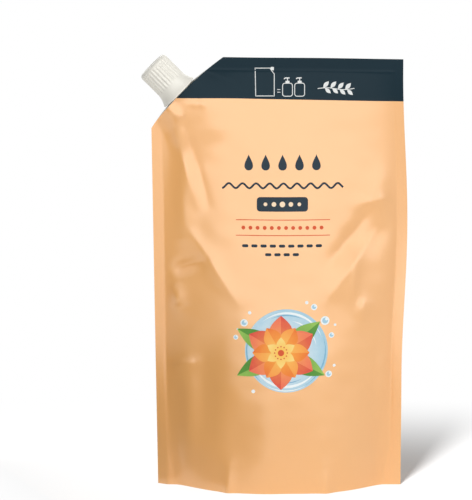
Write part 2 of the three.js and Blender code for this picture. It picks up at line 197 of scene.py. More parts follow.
def billow(x, z):
    left, right = weld_edges(z)
    across = np.clip(np.abs((2 * x - left - right) / (right - left)), 0, 1)
    upright = smoothstep(0, BELLY_HEIGHT + SIDE_WELD * 3, z)
    return belly_depth(z) * (1 - across ** mix(3.5, 2.2, upright)) ** mix(1.7, 1, upright)


def spout_places(x, z):
    """Along the slanted edge from the spout, and out of the pouch from the film's edge there."""
    along = (x - SPOUT_X + z - SPOUT_HEIGHT) * HALF_SQUARE
    out = (z - SPOUT_HEIGHT - x + SPOUT_X) * HALF_SQUARE
    return along, out


def spout_swell(x, z):
    along, out = spout_places(x, z)
    bottom = -BOAT_SINK - BOAT_DEPTH
    fade = smoothstep(4.6 * bottom, bottom, out)
    spread = 1 - smoothstep(2 * bottom, -BOAT_SINK, out)
    reach = BOAT_LENGTH / 2 + SPOUT_TENT + SPOUT_TENT_SPREAD * spread
    tent = np.maximum(0, 1 - np.abs(along / reach) ** 1.8) ** (1 + 0.6 * spread)
    return (BOAT_THICKNESS / 2 + SEAT_GAP + 2 * FILM_PLY) * tent * fade


# Folds in the film: from and to, [across, up], how far they stand out, how wide they are, and how
# sharp their crest is, from 0, round, to 1, creased. A negative rise is a dent.
FRONT_FOLDS = [
    ((-63.5, 216), (-45.5, 157), 2.3, 4.4, 0.7),
    ((-64, 210), (-52, 203), 1.5, 3.5, 0.6),
    ((-55, 213), (-39, 157), -1.1, 2.8, 0.5),
    ((-57, 214), (-52, 140), 3.4, 7, 0.2),
    ((-50, 144), (-23, 104), 1.9, 5.5, 0.7),
    ((-61, 119), (-41, 127), -1.8, 4, 0.4),
    ((-59, 113), (-56, 100), 2.6, 6.5, 0.4),
    ((-59, 67), (-46, 71), 1.4, 3.5, 0.5),
    ((54, 144), (26, 106), 2.4, 6, 0.6),
    ((52, 157), (26, 124), -1.8, 4, 0.3),
    ((41, 125), (39, 104), 1.5, 4, 0.7),
    ((62, 149), (38, 130), -2.4, 8, 0),
    ((45, 157), (64, 161), 1.8, 4.5, 0.6),
    ((60, 176), (50, 160), 1.4, 7, 0.2),
    ((46, 106), (44, 94), 1.4, 4, 0.4),
    ((-42, 88), (-39, 28), -2.4, 8, 0),
    ((-50, 62), (-49.5, 4), 1.4, 5, 0),
    ((-29.5, -14), (-28, 14), 2.2, 3.5, 0.4),
    ((-24, 44), (-22, 14), -0.6, 8, 0),
    ((25, -14), (26, 14), 2.3, 4.5, 0.3),
    ((-6, -20), (-5, 58), 1.3, 9, 0),
    ((-48.5, 217), (-45.5, 210), 0.6, 1.3, 0.6),
    ((-45, 218), (-41.5, 209.5), 0.7, 1.3, 0.6),
    ((-50, 212), (-40, 211), 0.4, 1.5, 0.3),
]
BACK_FOLDS = [
    ((-54, 196), (-34, 146), 1.9, 4.5, 0.7),
    ((-46, 192), (-28, 150), -1.3, 4, 0.4),
    ((52, 152), (22, 110), 2.2, 5.5, 0.6),
    ((60, 162), (34, 128), -1.8, 7, 0),
    ((-58, 122), (-38, 114), 1.5, 4.5, 0.5),
    ((44, 104), (50, 92), 1.6, 4.5, 0.4),
    ((8, -10), (9, 50), 1.2, 8, 0.1),
    ((34, -12), (33, 16), 1.9, 4, 0.3),
    ((-50, 110), (-24, 80), -1.5, 9, 0),
    ((42, 80), (44, 26), -1.6, 9, 0),
    ((-31, -12), (-29, 18), 1.9, 4.5, 0.4),
]


def fold_rise(fold, x, z):
    start, end, rise, width, crease = fold
    run = (end[0] - start[0], end[1] - start[1])
    share = ((x - start[0]) * run[0] + (z - start[1]) * run[1]) / (run[0] ** 2 + run[1] ** 2)
    held = np.clip(share, 0, 1)
    off = np.hypot(x - start[0] - held * run[0], z - start[1] - held * run[1]) / width
    sharp = np.exp(-1.6 * (np.sqrt(off**2 + 0.02) - math.sqrt(0.02)))
    return rise * np.sin(np.pi * (0.1 + 0.8 * held)) * mix(np.exp(-(off**2)), sharp, crease)


def ripple(x, z, length, turn):
    """Soft random swells of about that length, from -1 to 1: a few waves that cross each other."""
    total = 0
    for wave in range(7):
        angle = turn + 2.4 * wave
        span = length * (0.75 + 0.5 * ((0.618 * wave + turn) % 1))
        total = total + np.sin(2 * np.pi * (x * math.cos(angle) + z * math.sin(angle)) / span + 4.7 * wave)
    return total / 4


def pressed_line(x, z):
    """The fine ridge that the sealing jaws leave along the lower edge of the top weld."""
    off = (z - top_edge(x) + TOP_WELD) / PRESS_WIDTH
    ends = smoothstep(-44, -38, x) * (1 - smoothstep(60, 64, x))
    return PRESSED_RIDGE * np.exp(-(off**2)) * ends


def weld_lines(x, z):
    """The fine groove along the inner edge of each side weld."""
    left = (x - left_edge(z) - SIDE_WELD_SEEN) / PRESS_WIDTH
    right = (right_edge(z) - x - SIDE_WELD_SEEN) / PRESS_WIDTH
    return -WELD_GROOVE * (np.exp(-(left**2)) * (z < SHOULDER) + np.exp(-(right**2)))


def sway(x, z):
    """How far back both plies lie: a soft wave along the top, and the side welds that wave and curl."""
    up = smoothstep(0.7 * POUCH_HEIGHT, POUCH_HEIGHT, z)
    clear = smoothstep(-BASE_WIDTH / 4, 0, x)
    wave = TOP_WAVE * up * clear * np.sin(2 * np.pi * x / TOP_WAVE_LENGTH)
    strip = np.clip(1 - (x - left_edge(z)) / SIDE_WELD_SEEN, 0, 1)
    curl = WELD_CURL * (1 - smoothstep(0, WELD_CURL_HEIGHT, z)) * strip
    lean = smoothstep(2 * RIGHT_WAVE_REACH, 0, right_edge(z) - x)
    drift = smoothstep(*RIGHT_WAVE_SPAN, z) - 0.5
    low = smoothstep(0, RIGHT_WAVE_SPAN[0], z) * (1 - smoothstep(RIGHT_WAVE_SPAN[1], POUCH_HEIGHT, z))
    return wave + curl + RIGHT_WAVE * lean * drift * low


def panel_out(x, z, folds):
    full = np.hypot(billow(x, z), spout_swell(x, z))
    slack = smoothstep(0, FOLD_SLACK, full)
    creased = sum(fold_rise(fold, x, z) for fold in folds) * slack
    turn = 0.4 if folds is FRONT_FOLDS else 1.3
    swells = 0.32 * ripple(x, 0.7 * z, 34, turn) + 0.1 * ripple(x, z, 15, turn + 2)
    return FILM_PLY + full + creased + swells * slack + pressed_line(x, z) + weld_lines(x, z)


def front_y(x, z):
    return sway(x, z) - panel_out(x, z, FRONT_FOLDS)


def back_y(x, z):
    return sway(x, z) + panel_out(x, z, BACK_FOLDS)


# Making meshes


def add_mesh(name, points, faces, materials, face_slots=None, crisp=40):
    """A smooth-shaded piece, with edges that turn by more than crisp degrees left sharp."""
    mesh = bpy.data.meshes.new(name)
    mesh.from_pydata([tuple(float(c) * MM for c in p) for p in points], [], [tuple(f) for f in faces])
    for material in materials:
        mesh.materials.append(material)
    if face_slots is not None:
        mesh.polygons.foreach_set("material_index", np.array(face_slots, dtype=np.int32))
    finish_shading(mesh, crisp)
    piece = bpy.data.objects.new(name, mesh)
    bpy.context.scene.collection.objects.link(piece)
    return piece


def finish_shading(mesh, crisp):
    """Faces turned outwards and smooth, and edges that turn by more than crisp degrees left sharp."""
    grid = bmesh.new()
    grid.from_mesh(mesh)
    bmesh.ops.recalc_face_normals(grid, faces=grid.faces)
    for face in grid.faces:
        face.smooth = True
    for edge in grid.edges:
        edge.smooth = edge.calc_face_angle(0) < math.radians(crisp)
    grid.to_mesh(mesh)
    grid.free()


def quad_rows(rows, columns, start=0):
    """Quads of a grid whose rows are numbered one after another."""
    width = columns + 1
    at = [start + row * width + column for row in range(rows) for column in range(columns)]
    return [(a, a + 1, a + 1 + width, a + width) for a in at]


# Materials


def srgb(code):
    """A hex colour as it is seen, turned to the linear values that shaders take."""
    channels = [int(code[i : i + 2], 16) / 255 for i in (1, 3, 5)]
    linear = [c / 12.92 if c <= 0.04045 else ((c + 0.055) / 1.055) ** 2.4 for c in channels]
    return (*linear, 1)


def add_node(material, kind, settings=None, inputs=None):
    """One node with its settings and inputs; an input that is a socket is linked."""
    node = material.node_tree.nodes.new(kind)
    for key, value in (settings or {}).items():
        setattr(node, key, value)
    for key, value in (inputs or {}).items():
        if isinstance(value, bpy.types.NodeSocket):
            material.node_tree.links.new(value, node.inputs[key])
        else:
            node.inputs[key].default_value = value
    return node


def cleared(block):
    """The material or world with an empty node tree."""
    block.use_nodes = True
    block.node_tree.nodes.clear()
    return block


def patterned(name, tone, other, drift, reliefs, look, reach=None):
    """A material that drifts between two tones and whose skin is broken by fine reliefs.

    The drift is a size in millimetres and a detail, and a relief adds a strength and a depth in
    millimetres. With a reach, tone is at the blossom's middle and the other that far out.
    """
    material = cleared(bpy.data.materials.new(name))
    place = add_node(material, "ShaderNodeTexCoord").outputs["Object"]
    patterns = []
    for size, detail, *_ in (drift, *reliefs):
        inputs = {"Vector": place, "Scale": 1 / (size * MM), "Detail": detail}
        patterns.append(add_node(material, "ShaderNodeTexNoise", inputs=inputs).outputs["Fac"])
    share = patterns[0]
    if reach:
        flat = add_node(material, "ShaderNodeVectorMath", {"operation": "MULTIPLY"}, {0: place, 1: (1, 0, 1)})
        ends = {0: flat.outputs["Vector"], 1: (BLOSSOM[0] * MM, 0, BLOSSOM[1] * MM)}
        off = add_node(material, "ShaderNodeVectorMath", {"operation": "DISTANCE"}, ends).outputs["Value"]
        span = {"Value": off, "From Max": reach * MM, "To Min": 0.85, "To Max": -0.15}
        fade = add_node(material, "ShaderNodeMapRange", inputs=span).outputs["Result"]
        parts = {0: share, 1: 0.3, 2: fade}
        share = add_node(material, "ShaderNodeMath", {"operation": "MULTIPLY_ADD"}, parts).outputs["Value"]
    tones = {0: share, 6: srgb(other), 7: srgb(tone)}
    colour = add_node(material, "ShaderNodeMix", {"data_type": "RGBA"}, tones).outputs[2]
    skin = {**look, "Base Color": colour}
    for height, (_, _, strength, depth) in zip(patterns[1:], reliefs):
        inputs = {"Height": height, "Strength": strength, "Distance": depth * MM}
        if "Normal" in skin:
            inputs["Normal"] = skin["Normal"]
        skin["Normal"] = add_node(material, "ShaderNodeBump", inputs=inputs).outputs["Normal"]
    shader = add_node(material, "ShaderNodeBsdfPrincipled", inputs=skin)
    add_node(material, "ShaderNodeOutputMaterial", inputs={"Surface": shader.outputs["BSDF"]})
    return material


def satin_film(name, light, dark, roughness, gloss):
    """Reverse-printed PET laminate: a satin sheet, its broad soft glints broken by handling waves.

    The real matt coat has a grain of about 0.02 mm. It is drawn 0.5 mm coarse, so that it shows.
    """
    waves_and_grain = [(14, 2, 0.2, 0.3), (0.5, 1, 0.12, 0.03)]
    look = {"Roughness": roughness, "IOR": 1.6, "Specular IOR Level": gloss}
    return patterned(name, light, dark, (45, 2), waves_and_grain, look)


def moulded_plastic(name, light, dark, roughness, glow):
    """Injection-moulded polyolefin: an even, soft satin skin, a little clouded where it flowed.

    The mould's spark finish is about 0.05 mm. It is drawn 1.2 mm coarse, so that it shows. The glow is
    the share of the light that goes under the skin and comes out beside where it fell.
    """
    look = {"Roughness": roughness, "IOR": 1.49, "Subsurface Weight": glow}
    look.update({"Subsurface Radius": (1.0, 0.9, 0.75), "Subsurface Scale": 1.2 * MM})
    return patterned(name, light, dark, (9, 1), [(1.2, 2, 0.05, 0.02)], look)


def gravure_ink(name, tone, other, reach=None):
    """Gravure ink under the laminate's satin skin: flat and dense, with the faint mottle of its dots.

    The real dots are about 0.15 mm. Their mottle is drawn 2.5 mm coarse, so that it shows.
    """
    look = {"Roughness": 0.42, "IOR": 1.5, "Specular IOR Level": 0.15}
    return patterned(name, tone, other, (2.5, 3), [], look, reach)


# Light and dark tone, roughness, and how much the film glints or the plastic glows
APRICOT_FILM = satin_film("satin_laminate_apricot", "#f0b26d", "#edae68", 0.3, 0.85)
SLATE_FILM = satin_film("satin_laminate_slate", "#192e38", "#162932", 0.3, 0.06)
FILM_INSIDE = satin_film("polyethylene_film_inside", "#e4e2dc", "#d8d6d0", 0.5, 0.5)
CAP_PLASTIC = moulded_plastic("moulded_polypropylene", "#dfdcd2", "#dad7cd", 0.42, 0)
SPOUT_PLASTIC = moulded_plastic("moulded_polyethylene", "#f2efe6", "#e9e6dc", 0.45, 0.25)
LINER_FOAM = moulded_plastic("expanded_polyethylene_foam", "#f8f7f3", "#efeeea", 0.8, 0.1)


# The pouch's film: the columns and rows of each panel's grid, and the steps of the gusset

LEFT_WELD_COLUMNS = 12
BELLY_COLUMNS = 130
RIGHT_WELD_COLUMNS = 11
SIDE_ROWS = 170
SHOULDER_ROWS = 16
BAND_ROWS = 48
COLUMNS = LEFT_WELD_COLUMNS + BELLY_COLUMNS + RIGHT_WELD_COLUMNS
BAND_ROW = SIDE_ROWS + SHOULDER_ROWS
ROWS = BAND_ROW + BAND_ROWS
GUSSET_STEPS = 20

# Material slots of the film
BODY, BAND, INSIDE = 0, 1, 2


def band_edge(x):
    share = (x + BASE_WIDTH / 2) / BASE_WIDTH
    return top_edge(x) - mix(BAND_DEPTH_LEFT, BAND_DEPTH_RIGHT, share)


def row_height(row, x):
    """Even rows up to the shoulder, then up to the band's lower edge, then up to the trimmed edge."""
    if row <= SIDE_ROWS:
        return np.full_like(x, SHOULDER * row / SIDE_ROWS)
    band = band_edge(x)
    if row <= BAND_ROW:
        return mix(SHOULDER, band, (row - SIDE_ROWS) / SHOULDER_ROWS)
    return mix(band, top_edge(x), (row - BAND_ROW) / BAND_ROWS)


def column_places(z):
    weld_left, weld_right = weld_edges(z)
    left_share = np.clip(np.arange(COLUMNS + 1) / LEFT_WELD_COLUMNS, 0, 1)
    belly = np.clip((np.arange(COLUMNS + 1) - LEFT_WELD_COLUMNS) / BELLY_COLUMNS, 0, 1)
    past = np.arange(COLUMNS + 1) - LEFT_WELD_COLUMNS - BELLY_COLUMNS
    right_share = np.clip(past / RIGHT_WELD_COLUMNS, 0, 1)
    eased = mix(belly, smoothstep(0, 1, belly), 0.3)
    x = mix(left_edge(z), weld_left, left_share) + (weld_right - weld_left) * eased
    return x + (right_edge(z) - weld_right) * right_share


def panel_grid():
    """Place across and up of every point of a panel, as rows of columns."""
    across = np.zeros((ROWS + 1, COLUMNS + 1))
    up = np.zeros_like(across)
    for row in range(ROWS + 1):
        x = np.linspace(-BASE_WIDTH / 2, BASE_WIDTH / 2, COLUMNS + 1)
        for _ in range(3):
            z = row_height(row, x)
            x = column_places(z)
        across[row] = x
        up[row] = z
    return across, up


def row_slot(row):
    return BAND if row >= BAND_ROW else BODY


def make_film():
    """Both panels and the edges and underside that close them to one body."""
    across, up = panel_grid()
    front = np.stack([across, front_y(across, up), up], axis=2)
    back = np.stack([across, back_y(across, up), up], axis=2)
    points = [*front.reshape(-1, 3), *back.reshape(-1, 3)]
    size = (ROWS + 1) * (COLUMNS + 1)
    faces = []
    slots = []
    for start in (0, size):
        faces += quad_rows(ROWS, COLUMNS, start)
        slots += [row_slot(row) for row in range(ROWS) for _ in range(COLUMNS)]

    def at(side, row, column):
        return side * size + row * (COLUMNS + 1) + column

    for row in range(ROWS):
        lower = (at(0, row, COLUMNS), at(1, row, COLUMNS))
        upper = (at(1, row + 1, COLUMNS), at(0, row + 1, COLUMNS))
        faces.append(lower + upper)
        slots.append(row_slot(row))
    for column in range(1, COLUMNS):
        near = (at(0, ROWS, column), at(0, ROWS, column + 1))
        far = (at(1, ROWS, column + 1), at(1, ROWS, column))
        faces.append(near + far)
        slots.append(BAND)
    rails = add_open_edge(points, faces, slots, at, across, up)
    faces.append((at(0, ROWS, 1), at(1, ROWS, 1), *reversed(rails[-1])))
    slots.append(BAND)
    add_underside(points, faces, slots, at, across, rails[0])
    return add_mesh("pouch_film", points, faces, [APRICOT_FILM, SLATE_FILM, FILM_INSIDE], slots)


def add_open_edge(points, faces, slots, at, across, up):
    """The left edge, as a rail of points for each row. Where the boat parts the plies it is open."""
    depth = 2 * BOAT_SINK
    rails = []
    for row in range(ROWS + 1):
        x, z = across[row, 0], up[row, 0]
        y0, y1 = float(front_y(x, z)), float(back_y(x, z))
        gap = y1 - y0
        ply = min(FILM_PLY, gap / 5)
        sink = depth * float(smoothstep(3 * FILM_PLY, 8 * FILM_PLY, gap))
        inner_x, inner_z = x + sink * HALF_SQUARE, z - sink * HALF_SQUARE
        inner_0 = float(front_y(inner_x, inner_z)) + ply
        inner_1 = float(back_y(inner_x, inner_z)) - ply
        if sink == 0:
            inner_0, inner_1 = y0 + 2 * ply, y1 - 2 * ply
        start = len(points)
        points.extend([(x, y0 + ply, z), (inner_x, inner_0, inner_z)])
        points.extend([(inner_x, inner_1, inner_z), (x, y1 - ply, z)])
        rails.append([at(0, row, 0), start, start + 1, start + 2, start + 3, at(1, row, 0)])
    for row, (lower, upper) in enumerate(zip(rails, rails[1:])):
        for lane in range(len(lower) - 1):
            faces.append((lower[lane], upper[lane], upper[lane + 1], lower[lane + 1]))
            slots.append(INSIDE if lane in (1, 2, 3) and row > SIDE_ROWS else row_slot(row))
    return rails


def add_underside(points, faces, slots, at, across, left_rail):
    """The hem's edge, its inner wall, and the gusset that sags from its weld to the floor."""
    hem = 2 * FILM_PLY
    rails = []
    for column in range(1, COLUMNS):
        x = float(across[0, column])
        y0, y1 = float(front_y(x, 0)), float(back_y(x, 0))
        wall = min(hem, (y1 - y0) / 4)
        half = (y1 - y0) / 2 - wall
        rise = HEM_HEIGHT * float(smoothstep(0, BASE_DEPTH / 6, half))
        rail = [at(0, 0, column)]
        for y, z in gusset_section(x, y0 + wall, y1 - wall, rise):
            rail.append(len(points))
            points.append((x, y, z))
        rail.append(at(1, 0, column))
        rails.append(rail)
    for near, far in zip(rails, rails[1:]):
        for lane in range(len(near) - 1):
            faces.append((near[lane], near[lane + 1], far[lane + 1], far[lane]))
            slots.append(BODY)
    faces.append((*left_rail, *reversed(rails[0])))
    faces.append((*rails[-1], at(1, 0, COLUMNS), at(0, 0, COLUMNS)))
    slots.extend([BODY, BODY])


def gusset_section(x, y0, y1, rise):
    """The underside across the pouch at one place along it, as [y, z] from hem to hem."""
    middle, half = (y0 + y1) / 2, (y1 - y0) / 2
    reach = BASE_WIDTH / 2 - EAR_WELD
    patch = TOUCHDOWN_WIDTH / 2 * math.sqrt(max(0, 1 - (2 * x / TOUCHDOWN_LENGTH) ** 2))
    end = min(1, max(0, (abs(x) - TOUCHDOWN_LENGTH / 2) / (reach - TOUCHDOWN_LENGTH / 2)))
    section = [(y0, 0)]
    for step in range(GUSSET_STEPS + 1):
        y = mix(y0, y1, step / GUSSET_STEPS)
        off = abs(y - middle)
        side = min(1, max(0, (off - patch) / max(0.01, half - patch)))
        section.append((y, rise * (1 - (1 - side) * (1 - end)) ** 1.84))
    return [*section, (y1, 0)]


film = make_film()
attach(film, "pack")
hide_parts("pouch")


# Round mouldings


def lathe(profile, segments, shape=None):
    """Points and faces of a closed body of revolution from [radius, height], both ends on the axis."""
    points = []
    rings = []
    for radius, height in profile:
        if radius == 0:
            rings.append([len(points)])
            points.append(Vector((0, 0, height)))
            continue
        rings.append(list(range(len(points), len(points) + segments)))
        for step in range(segments):
            turn = 2 * math.pi * step / segments
            wide = shape(radius, height, turn) if shape else radius
            points.append(Vector((wide * math.cos(turn), wide * math.sin(turn), height)))
    faces = []
    for low, high in zip(rings, rings[1:]):
        for step in range(segments):
            after = (step + 1) % segments
            if len(low) == 1:
                faces.append((low[0], high[after], high[step]))
            elif len(high) == 1:
                faces.append((low[step], low[after], high[0]))
            else:
                faces.append((low[step], low[after], high[after], high[step]))
    return points, faces


def arc(centre, radius, start, end, steps):
    """Points of an arc of a profile, its angles in degrees from straight out."""
    turns = [math.radians(mix(start, end, step / steps)) for step in range(steps + 1)]
    return [(centre[0] + radius * math.cos(t), centre[1] + radius * math.sin(t)) for t in turns]


def helix(base, depth, start, turns, steps=48):
    """Points and faces of one thread: a ridge on a helix, tapered at its ends and rooted in its wall."""
    points = []
    count = round(turns * steps)
    root = base - math.copysign(THREAD_SINK, depth)
    low = [(root, -THREAD_ROOT), (base, -THREAD_ROOT)]
    high = [(base, THREAD_ROOT), (root, THREAD_ROOT)]
    for step in range(count + 1):
        turn = 2 * math.pi * turns * step / count
        lift = start + THREAD_LEAD * turn / (2 * math.pi)
        full = min(1, 4 * min(step, count - step) / steps + 0.15)
        crest = base + depth * full
        section = [*low, (crest, -THREAD_CREST), (crest, THREAD_CREST), *high]
        for radius, up in section:
            points.append(Vector((radius * math.cos(turn), radius * math.sin(turn), lift + up)))
    ring = len(section)
    faces = []
    for step in range(count):
        for corner in range(ring):
            a, b = step * ring + corner, step * ring + (corner + 1) % ring
            faces.append((a, b, b + ring, a + ring))
    faces.append(tuple(range(ring)))
    faces.append(tuple(count * ring + corner for corner in reversed(range(ring))))
    return points, faces


def moulding(name, body, plastic):
    """A piece where the spout stands, its points and faces given from the film's edge up the axis."""
    points, faces = body
    return add_mesh(name, [SPOUT_FRAME @ point for point in points], faces, [plastic])


def joined(piece, other, operation):
    """piece with other added to it or cut from it."""
    cut = piece.modifiers.new("cut", "BOOLEAN")
    cut.operation = operation
    cut.solver = "EXACT"
    cut.object = other
    bpy.context.view_layer.update()
    made = bpy.data.meshes.new_from_object(piece.evaluated_get(bpy.context.evaluated_depsgraph_get()))
    piece.modifiers.clear()
    piece.data = made
    bpy.data.objects.remove(other)


def merge_seams(mesh):
    """Points that a join left almost on each other become one, so that no face is a mere sliver."""
    grid = bmesh.new()
    grid.from_mesh(mesh)
    bmesh.ops.dissolve_degenerate(grid, dist=0.001 * MM, edges=grid.edges)
    grid.to_mesh(mesh)
    grid.free()


def make_cap():
    """The screw cap: ribbed barrel, flared skirt, and inside a bore with its thread and a ceiling."""
    end = SKIRT_GAP + CAP_LENGTH
    barrel, skirt, bore = CAP_DIAMETER / 2, SKIRT_DIAMETER / 2, CAP_BORE / 2
    ribs_low = end - GRIP_RIB_LENGTH
    over_flange = 2 * SEAT_GAP + FLANGE_THICKNESS
    ceiling = end - CAP_TOP_THICKNESS
    flare = [
        (barrel + (skirt - barrel) * (1 - share) ** 1.8, mix(SKIRT_GAP + 0.5, ribs_low - 0.3, share))
        for share in np.linspace(0, 1, 16)
    ]
    outside = [
        (0, end - 0.2),
        (0.5, end - 0.2),
        (0.75, end - 0.4),
        (barrel - CAP_TOP_ROUND - 1.2, end - 0.4),
        *arc((barrel - CAP_TOP_ROUND - 0.5, end - 0.4), 0.4, 150, 90, 3),
        *arc((barrel - CAP_TOP_ROUND, end - CAP_TOP_ROUND), CAP_TOP_ROUND, 90, 0, 12),
        *[(barrel, height) for height in np.linspace(end - CAP_TOP_ROUND - 0.4, ribs_low + 0.1, 22)],
        *reversed(flare),
        *arc((skirt - 0.3, SKIRT_GAP + 0.3), 0.3, 0, -90, 4),
    ]
    inner = skirt - SKIRT_WALL
    hollow = [
        *arc((inner + 0.2, SKIRT_GAP + 0.2), 0.2, -90, -180, 3),
        (inner, over_flange),
        (bore, over_flange + SKIRT_CONE),
        (bore, ceiling - 0.4),
        (bore - 0.4, ceiling),
        (0, ceiling),
    ]

    def ribbed(radius, height, turn):
        if radius < bore + 0.05 or height < ribs_low - 1:
            return radius
        groove = (0.5 - 0.5 * math.cos(GRIP_RIBS * turn)) ** 1.3
        low = float(smoothstep(ribs_low - 0.3, ribs_low + 1.1, height))
        high = 1 - float(smoothstep(end - 1.6 * CAP_TOP_ROUND, end - 0.3 * CAP_TOP_ROUND, height))
        return radius - GRIP_RIB_DEPTH * groove * low * high

    cap = moulding("cap_shell", lathe([*outside, *hollow], GRIP_RIBS * 12, ribbed), CAP_PLASTIC)
    thread = helix(bore, -THREAD_DEPTH, NECK_THREAD_START - THREAD_LEAD / 2, CAP_THREAD_TURNS)
    joined(cap, moulding("cap_thread", thread, CAP_PLASTIC), "UNION")
    merge_seams(cap.data)
    finish_shading(cap.data, 40)
    return cap


cap = make_cap()
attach(cap, "screw_cap")
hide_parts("cap")


def boat_outline(margin, steps=24):
    """The weld base's pointed oval, as [along, across] points all the way round."""
    half, thick = BOAT_LENGTH / 2 + margin, BOAT_THICKNESS / 2 + margin
    radius = (half**2 + thick**2) / (2 * thick)
    outline = []
    for side in (1, -1):
        for step in range(steps):
            along = -half * side * math.cos(math.pi * step / steps)
            across = math.sqrt(max(0, radius**2 - along**2)) - (radius - thick)
            outline.append((along, -side * across))
    return outline


def slab(outline, low, high):
    """Points and faces of a plate of that outline between two heights."""
    count = len(outline)
    points = [Vector((x, y, height)) for height in (low, high) for x, y in outline]
    faces = [(i, (i + 1) % count, count + (i + 1) % count, count + i) for i in range(count)]
    faces.append(tuple(reversed(range(count))))
    faces.append(tuple(range(count, 2 * count)))
    return points, faces


def make_spout():
    """The spout: neck with thread and flange, the weld base with its ribs, and the bore through both."""
    bottom = -BOAT_SINK - BOAT_DEPTH
    neck, flange = NECK_DIAMETER / 2, FLANGE_DIAMETER / 2
    top = SEAT_GAP + FLANGE_THICKNESS
    outside = [
        (0, bottom + 0.5),
        (neck - 0.8, bottom + 0.5),
        (neck - 0.8, SEAT_GAP),
        *arc((flange - 0.35, SEAT_GAP + 0.35), 0.35, -90, 0, 4),
        *arc((flange - 0.35, top - 0.35), 0.35, 0, 90, 4),
        *arc((neck + 0.8, top + 0.8), 0.8, 270, 180, 5),
        *arc((neck - 0.35, NECK_TOP - 0.35), 0.35, 0, 90, 4),
        (0, NECK_TOP),
    ]
    spout = moulding("spout_moulding", lathe(outside, 96), SPOUT_PLASTIC)
    additions = [slab(boat_outline(-BOAT_RIB_RISE), bottom, -BOAT_SINK)]
    for place in np.linspace(bottom, -BOAT_SINK - BOAT_RIB_THICKNESS, BOAT_RIBS):
        additions.append(slab(boat_outline(0), place, place + BOAT_RIB_THICKNESS))
    additions.append(helix(neck, THREAD_DEPTH, NECK_THREAD_START, NECK_THREAD_TURNS))
    for body in additions:
        joined(spout, moulding("addition", body, SPOUT_PLASTIC), "UNION")
    step = (MOUTH_BORE - BOAT_BORE) / 2
    wide_from = NECK_TOP - MOUTH_DEPTH
    bore = [
        (0, bottom - 1),
        (BOAT_BORE / 2, bottom - 1),
        (BOAT_BORE / 2, wide_from - step),
        (MOUTH_BORE / 2, wide_from),
        (MOUTH_BORE / 2, NECK_TOP + 1),
        (0, NECK_TOP + 1),
    ]
    joined(spout, moulding("bore", lathe(bore, 96), SPOUT_PLASTIC), "DIFFERENCE")
    merge_seams(spout.data)
    finish_shading(spout.data, 32)
    return spout


spout = make_spout()
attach(spout, "pack")
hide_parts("spout")

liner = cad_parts["cap_liner"]
liner.data.materials.clear()
liner.data.materials.append(LINER_FOAM)


# The print: each ink is a thin layer that follows the film, drawn thicker than real so that none
# shows through the one over it

INK_CELL = 1.2  # the size of its faces
INK_LIFT = 0.05  # how high the lowest level lies over the film
INK_LEVEL = 0.03  # and each level over the one below it
INK_SINK = 0.04  # how deep its underside lies in the film
LEAF_STEPS = 24


def circle(x, z, radius, steps=32):
    turns = [2 * math.pi * step / steps for step in range(steps)]
    return [(x + radius * math.cos(t), z + radius * math.sin(t)) for t in turns]


def rounded_box(x0, z0, x1, z1, radius, steps=6):
    corners = ((x1 - radius, z0 + radius, -90), (x1 - radius, z1 - radius, 0))
    corners += ((x0 + radius, z1 - radius, 90), (x0 + radius, z0 + radius, 180))
    outline = []
    for x, z, start in corners:
        for step in range(steps + 1):
            turn = math.radians(start + 90 * step / steps)
            outline.append((x + radius * math.cos(turn), z + radius * math.sin(turn)))
    return outline


def leaf(x, z, length, width, angle, fullness=1.0):
    """A pointed oval from its stalk end, turned by angle degrees from pointing right."""
    turn = math.radians(angle)
    outline = []
    for side in (1, -1):
        for step in range(LEAF_STEPS):
            share = step / LEAF_STEPS if side > 0 else 1 - step / LEAF_STEPS
            along = length * share
            across = side * width / 2 * math.sin(math.pi * share**fullness)
            outline.append(
                (
                    x + along * math.cos(turn) - across * math.sin(turn),
                    z + along * math.sin(turn) + across * math.cos(turn),
                )
            )
    return outline


def lit_half(outline):
    """The half of a leaf or petal on one side of its midrib."""
    return outline[: LEAF_STEPS + 1]


def drop(x, z, height, steps=40):
    """A water drop, its middle at x, z, pointed at the top."""
    width = 0.78 * height
    outline = []
    for step in range(steps):
        turn = 2 * math.pi * step / steps
        across = width / 2 * math.sin(turn) * math.sin(turn / 2) ** 1.6
        outline.append((x + across, z + height / 2 * math.cos(turn)))
    return outline


def ribbon(path, width):
    """The outline of a line of that width along a path."""
    path = [Vector(p) for p in path]
    left, right = [], []
    for here, point in enumerate(path):
        run = path[min(here + 1, len(path) - 1)] - path[max(here - 1, 0)]
        side = Vector((-run.y, run.x)).normalized() * width / 2
        left.append(tuple(point + side))
        right.append(tuple(point - side))
    return left + right[::-1]


def bent_line(x, z, radius, start, end, width, steps=24):
    """The outline of a line on an arc that tapers to both ends."""
    turns = [math.radians(mix(start, end, step / steps)) for step in range(steps + 1)]
    outline = []
    for side, order in ((1, range(steps + 1)), (-1, range(steps - 1, 0, -1))):
        for step in order:
            wide = radius + side * width / 2 * math.sin(math.pi * step / steps)
            outline.append((x + wide * math.cos(turns[step]), z + wide * math.sin(turns[step])))
    return outline


def drawn_in(outline, width):
    """The outline moved inwards by a width."""
    centre = np.mean(outline, axis=0)
    points = np.array(outline)
    run = np.roll(points, -1, axis=0) - np.roll(points, 1, axis=0)
    side = np.stack([-run[:, 1], run[:, 0]], axis=1)
    side /= np.linalg.norm(side, axis=1)[:, None]
    if np.sum(side * (centre - points)) < 0:
        side = -side
    return [tuple(p) for p in points + side * width]


FILM_TREE = BVHTree.FromObject(film, bpy.context.evaluated_depsgraph_get())


def on_film(x, z, lift):
    """The point that stands lift over the front film, in millimetres."""
    hit, normal, _, _ = FILM_TREE.ray_cast(Vector((x * MM, -1, z * MM)), Vector((0, 1, 0)))
    return hit / MM + normal * lift


